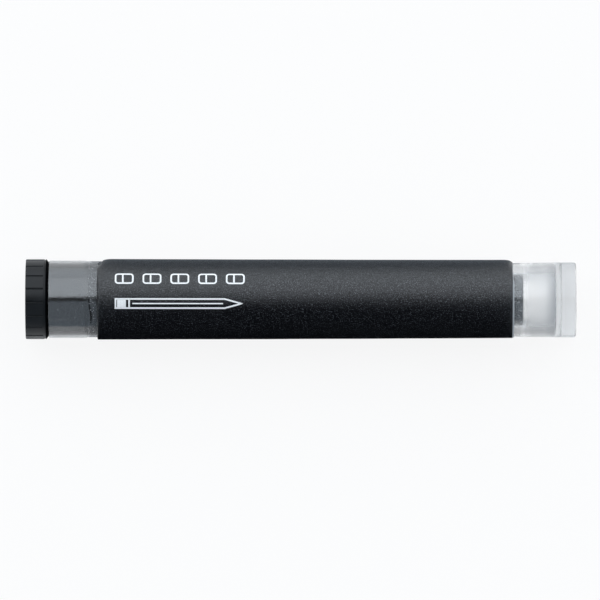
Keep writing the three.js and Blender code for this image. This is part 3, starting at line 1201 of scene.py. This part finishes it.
def pale_floor(studio):
    """A matt pale floor that stays near white in the picture and in clear plastic."""
    material, tree, shader, place = new_finish("pale_studio_floor")
    mottle = cloud(tree, place, 0.5)
    fill(tree, shader, {
        "Base Color": shades(tree, mottle, studio.floor_colour, 1, 0.99),
        "Specular IOR Level": 0.1,
        "Roughness": 0.9})
    path = add_node(tree, "ShaderNodeLightPath").outputs
    plastic = math_node(tree, "MAXIMUM", path["Is Glossy Ray"], path["Is Transmission Ray"])
    through = math_node(tree, "MULTIPLY", plastic, studio.floor_glow_through)
    straight = math_node(tree, "MULTIPLY", path["Is Camera Ray"], studio.floor_glow)
    seen = math_node(tree, "MAXIMUM", straight, through)
    glow = add_node(tree, "ShaderNodeEmission", {"Color": (1, 1, 1, 1), "Strength": 1.0}).outputs[0]
    mixed = add_node(tree, "ShaderNodeMixShader", {0: seen, 1: shader.outputs[0], 2: glow})
    tree.links.new(mixed.outputs[0], tree.nodes["Material Output"].inputs["Surface"])
    return material


def studio_room(studio):
    """A dim room with paler walls beyond the two ends of the tube."""
    world = bpy.data.worlds.new("studio_room")
    world.use_nodes = True
    tree = world.node_tree
    facing = separate(tree, add_node(tree, "ShaderNodeTexCoord").outputs["Generated"])["X"]
    endwise = math_node(tree, "ABSOLUTE", facing)
    fill(tree, tree.nodes["Background"], {
        "Color": ROOM_COLOUR,
        "Strength": spread(tree, endwise, *WALL_DIRECTIONS, studio.sky_radiance, studio.wall_radiance)})
    return world


def studio_card(name, ends, near, far, inputs):
    """A card between two X and from one (y, z) to another, which the camera and the light don't see."""
    material, tree, shader, place = new_finish(name)
    fill(tree, shader, {"Specular IOR Level": 0, **inputs})
    maker = bmesh.new()
    start, end = ends
    corners = [(start, *near), (end, *near), (end, *far), (start, *far)]
    maker.faces.new([maker.verts.new(corner) for corner in corners])
    card = mesh_object(name, maker, [material])
    card.visible_camera = False
    card.visible_diffuse = False
    card.visible_volume_scatter = False
    card.visible_shadow = False
    return card, tree, shader, place


def grey_card(name, tone, near, far):
    """A card beside the sleeve that only gloss reflects, as a photographer sets one to deepen a side."""
    ends = (SLEEVE_LOW.x - SLEEVE_CARD_REACH, SLEEVE_HIGH.x + SLEEVE_CARD_REACH)
    tint = [tone * part for part in SLEEVE_CARD_COLOUR]
    card = studio_card(name, ends, near, far, {"Base Color": (*tint, 1)})[0]
    card.visible_transmission = False


def glow_card(name, glow, tint, ends, near, far):
    """A glowing card on the floor, between two X and two Y, that only shows through the clear plastic."""
    card, tree, shader, place = studio_card(name, ends, (near, CARD_LIFT), (far, CARD_LIFT), {
        "Base Color": (0, 0, 0, 1), "Emission Color": (*tint, 1), "Emission Strength": glow})
    card.visible_glossy = False
    return tree, shader, place


def back_card(name, dark_glow, lamp_glow):
    """A glowing card under the empty end of the bore, with painted light brighter on its +Y side, towards
    the key lamp.
    """
    half = settings().tube.bore_radius
    tree, shader, place = glow_card(name, lamp_glow, (1, 1, 1), (SLEEVE_HIGH.x, BORE_END), -half, half)
    across = separate(tree, place)["Y"]
    fill(tree, shader, {
        "Emission Strength": spread(tree, across, -BACK_CARD_STEP, BACK_CARD_STEP, dark_glow, lamp_glow)})


def photo_camera(studio):
    """The camera, straight above the tube."""
    data = bpy.data.cameras.new("photo_camera")
    data.sensor_width = SENSOR_WIDTH
    data.lens = SENSOR_WIDTH * studio.camera_height / studio.field_width
    data.clip_end = CLIP_END
    camera = bpy.data.objects.new("photo_camera", data)
    camera.location = (studio.camera_x, studio.camera_y, AXIS_HEIGHT + studio.camera_height)
    camera.rotation_euler = (0, 0, studio.camera_roll)
    bpy.context.scene.collection.objects.link(camera)
    return camera


class REFILL_OT_studio(Operator):
    """Set up the floor, the lamps, the cards and the camera"""

    bl_idname = "refill.studio"
    bl_label = "Set Up Studio"

    def execute(self, context):
        studio = settings().studio
        scene = context.scene
        maker = bmesh.new()
        bmesh.ops.create_grid(maker, x_segments=8, y_segments=8, size=FLOOR_SIZE)
        floor = mesh_object("studio_floor", maker, [pale_floor(studio)])

        soft_lamp("key_lamp", studio.key_radiance, studio.key_colour, 1)
        soft_lamp("fill_lamp", studio.fill_radiance, studio.fill_colour, -1)
        scene.world = studio_room(studio)

        grey_card("dark_side_card", 0.05, (-6 * MM, CARD_LIFT), (-8 * MM, 50 * MM))
        grey_card("lamp_side_card", 0.4, (4 * MM, CARD_LIFT), (60 * MM, CARD_LIFT))
        back_card("bore_back_card", 0.86, 1.16)
        wall_ends = (SLEEVE_HIGH.x, TUBE_HIGH.x + WALL_CARD_REACH)
        near, far = WALL_CARD_SIDES
        glow_card("wall_lamp_card", 0.76, WALL_CARD_COLOUR, wall_ends, near, far)
        glow_card("wall_dark_card", 0.5, WALL_CARD_COLOUR, wall_ends, -near, -far)
        plug_ends = (TUBE_LOW.x - PLUG_CARD_REACH, 0)
        glow_card("plug_lamp_card", 1.32, studio.key_colour, plug_ends, 7 * MM, PLUG_CARD_FAR)
        glow_card("plug_dark_card", 0.45, studio.fill_colour, plug_ends, -12.5 * MM, -PLUG_CARD_FAR)

        scene.camera = photo_camera(studio)
        scene.view_settings.view_transform = "Standard"
        return {"FINISHED"}


class REFILL_PT_panel(Panel):
    """Lists the refill tube's pieces and sizes"""

    bl_idname = "REFILL_PT_panel"
    bl_label = "Eraser Refill Tube"
    bl_space_type = "VIEW_3D"
    bl_region_type = "UI"
    bl_category = "Refill Tube"

    def draw(self, context):
        chosen = context.scene.refill_tube
        for operator in OPERATORS:
            self.layout.operator(operator.bl_idname)
        for group in chosen.bl_rna.properties.keys():
            if group in ("rna_type", "name"):
                continue
            part = getattr(chosen, group)
            box = self.layout.box()
            box.label(text=group.capitalize())
            for name in part.bl_rna.properties.keys():
                if name not in ("rna_type", "name"):
                    box.prop(part, name)


OPERATORS = (REFILL_OT_tube, REFILL_OT_stopper, REFILL_OT_sleeve, REFILL_OT_marks, REFILL_OT_erasers,
             REFILL_OT_studio)
CLASSES = (TubeSizes, StopperSizes, SleeveSizes, EraserSizes, MarkSizes, Finishes, StudioSettings,
           RefillTubeSettings, *OPERATORS, REFILL_PT_panel)


def register():
    for known in CLASSES:
        bpy.utils.register_class(known)
    bpy.types.Scene.refill_tube = PointerProperty(type=RefillTubeSettings)


def unregister():
    del bpy.types.Scene.refill_tube
    for known in reversed(CLASSES):
        bpy.utils.unregister_class(known)


def main():
    register()
    bpy.ops.refill.tube()
    bpy.ops.refill.stopper()
    bpy.ops.refill.sleeve()
    bpy.ops.refill.marks()
    bpy.ops.refill.erasers()
    bpy.ops.refill.studio()


if __name__ == "__main__":
    main()
